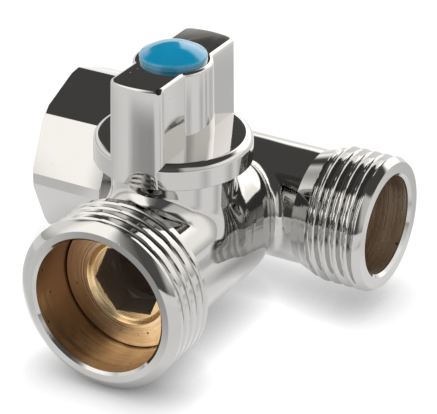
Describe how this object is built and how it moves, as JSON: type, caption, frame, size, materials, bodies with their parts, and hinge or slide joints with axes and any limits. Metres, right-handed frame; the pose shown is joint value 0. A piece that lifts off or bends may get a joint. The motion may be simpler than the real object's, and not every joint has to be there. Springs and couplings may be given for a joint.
{
  "type": "washing machine valve",
  "caption": "Chrome plated tee valve for a washing machine: octagonal female inlet, straight male outlet and a male side branch shut by a quarter turn ball valve with a bar handle.",
  "frame": {"origin": "centre of the inlet's mouth, on the axis of the straight way", "axes": "+X along the straight way towards the male outlet, -Y along the side branch, +Z along the stem towards the handle"},
  "size_m": [0.0552, 0.0567, 0.0466],
  "materials": {
    "chrome_plated_brass": "bright chrome plate outside, bare machined brass in the bores",
    "chrome_plated_zinc": "bright chrome plate",
    "bare_brass": "turned, with fine tool rings",
    "white_ptfe": "matte",
    "black_rubber": "matte",
    "zinc_plated_steel": "zinc plate",
    "blue_plastic": "gloss, moulded"
  },
  "bodies": {
    "valve": {"valve_body": "chrome_plated_brass", "inner_seat": "white_ptfe", "outer_seat": "white_ptfe", "seat_retainer": "bare_brass", "thrust_washer": "white_ptfe"},
    "quarter_turn": {"handle": "chrome_plated_zinc", "handle_screw": "zinc_plated_steel", "index_cap": "blue_plastic", "stem": "bare_brass", "lower_stem_seal": "black_rubber", "upper_stem_seal": "black_rubber", "ball": "chrome_plated_brass"}
  },
  "joints": [
    {"name": "handle_turn", "type": "hinge", "parent": "valve", "child": "quarter_turn", "pos_m": [0.0302, -0.0215, 0.015], "axis": [0, 0, 1], "range_deg": [-90, 0]}
  ]
}
